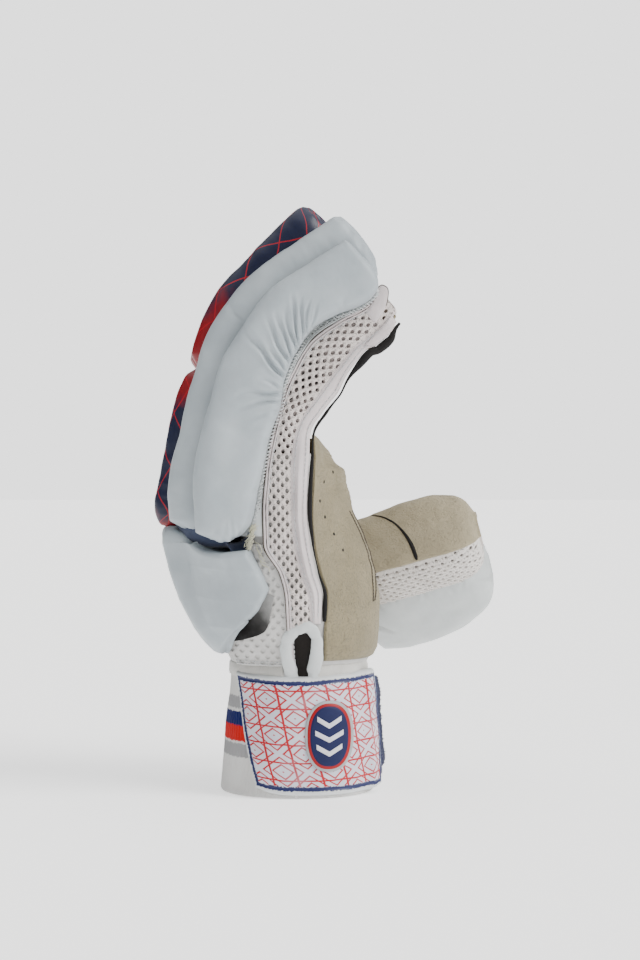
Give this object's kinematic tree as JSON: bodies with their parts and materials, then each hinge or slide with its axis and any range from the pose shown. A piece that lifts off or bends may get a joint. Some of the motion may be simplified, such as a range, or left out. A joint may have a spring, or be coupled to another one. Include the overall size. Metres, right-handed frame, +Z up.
{
  "type": "cricket batting glove",
  "caption": "Right-hand cricket batting glove with padded finger rolls, side pads, back block, leather palm, thumb guard and strapped wrist cuff.",
  "frame": {"origin": "on the floor under the middle of the bounding box, with the glove standing on its cuff", "axes": "+Z up from the cuff to the fingers, +X towards the palm, +Y towards the thumb side"},
  "size_m": [0.1698, 0.133, 0.2836],
  "materials": {
    "pad_white": "soft satin",
    "roll_print": "soft satin with a red line pattern",
    "palm_leather": "matt",
    "mesh": "perforated mesh",
    "cuff_knit": "ribbed with stripes",
    "strap": "satin with a printed border",
    "badge": "raised rubber print",
    "hook_patch": "rough loops",
    "binding": "satin",
    "web": "matt stretch cloth",
    "trim": "satin",
    "piping": "matt"
  },
  "bodies": {
    "root": {"cuff_band": "cuff_knit", "wrist_strap": "strap", "strap_hook_patch": "hook_patch", "strap_badge": "badge", "hand_shell": "mesh", "slit_binding": "binding", "palm_leather": "palm_leather", "back_block": "pad_white", "knuckle_hinge": "web", "little_stall": "mesh", "little_leather": "palm_leather", "ring_stall": "mesh", "ring_leather": "palm_leather", "middle_stall": "mesh", "middle_leather": "palm_leather", "index_stall": "mesh", "index_leather": "palm_leather", "little_roll": "pad_white", "ring_roll_lower": "roll_print", "ring_roll_upper": "roll_print", "middle_roll_lower": "roll_print", "middle_roll_upper": "roll_print", "index_roll": "pad_white", "little_side_pad": "pad_white", "index_side_pad": "pad_white", "side_trim": "trim", "palm_piping": "piping", "thumb_stall": "mesh", "thumb_leather": "palm_leather", "thumb_pad": "pad_white"}
  },
  "joints": []
}
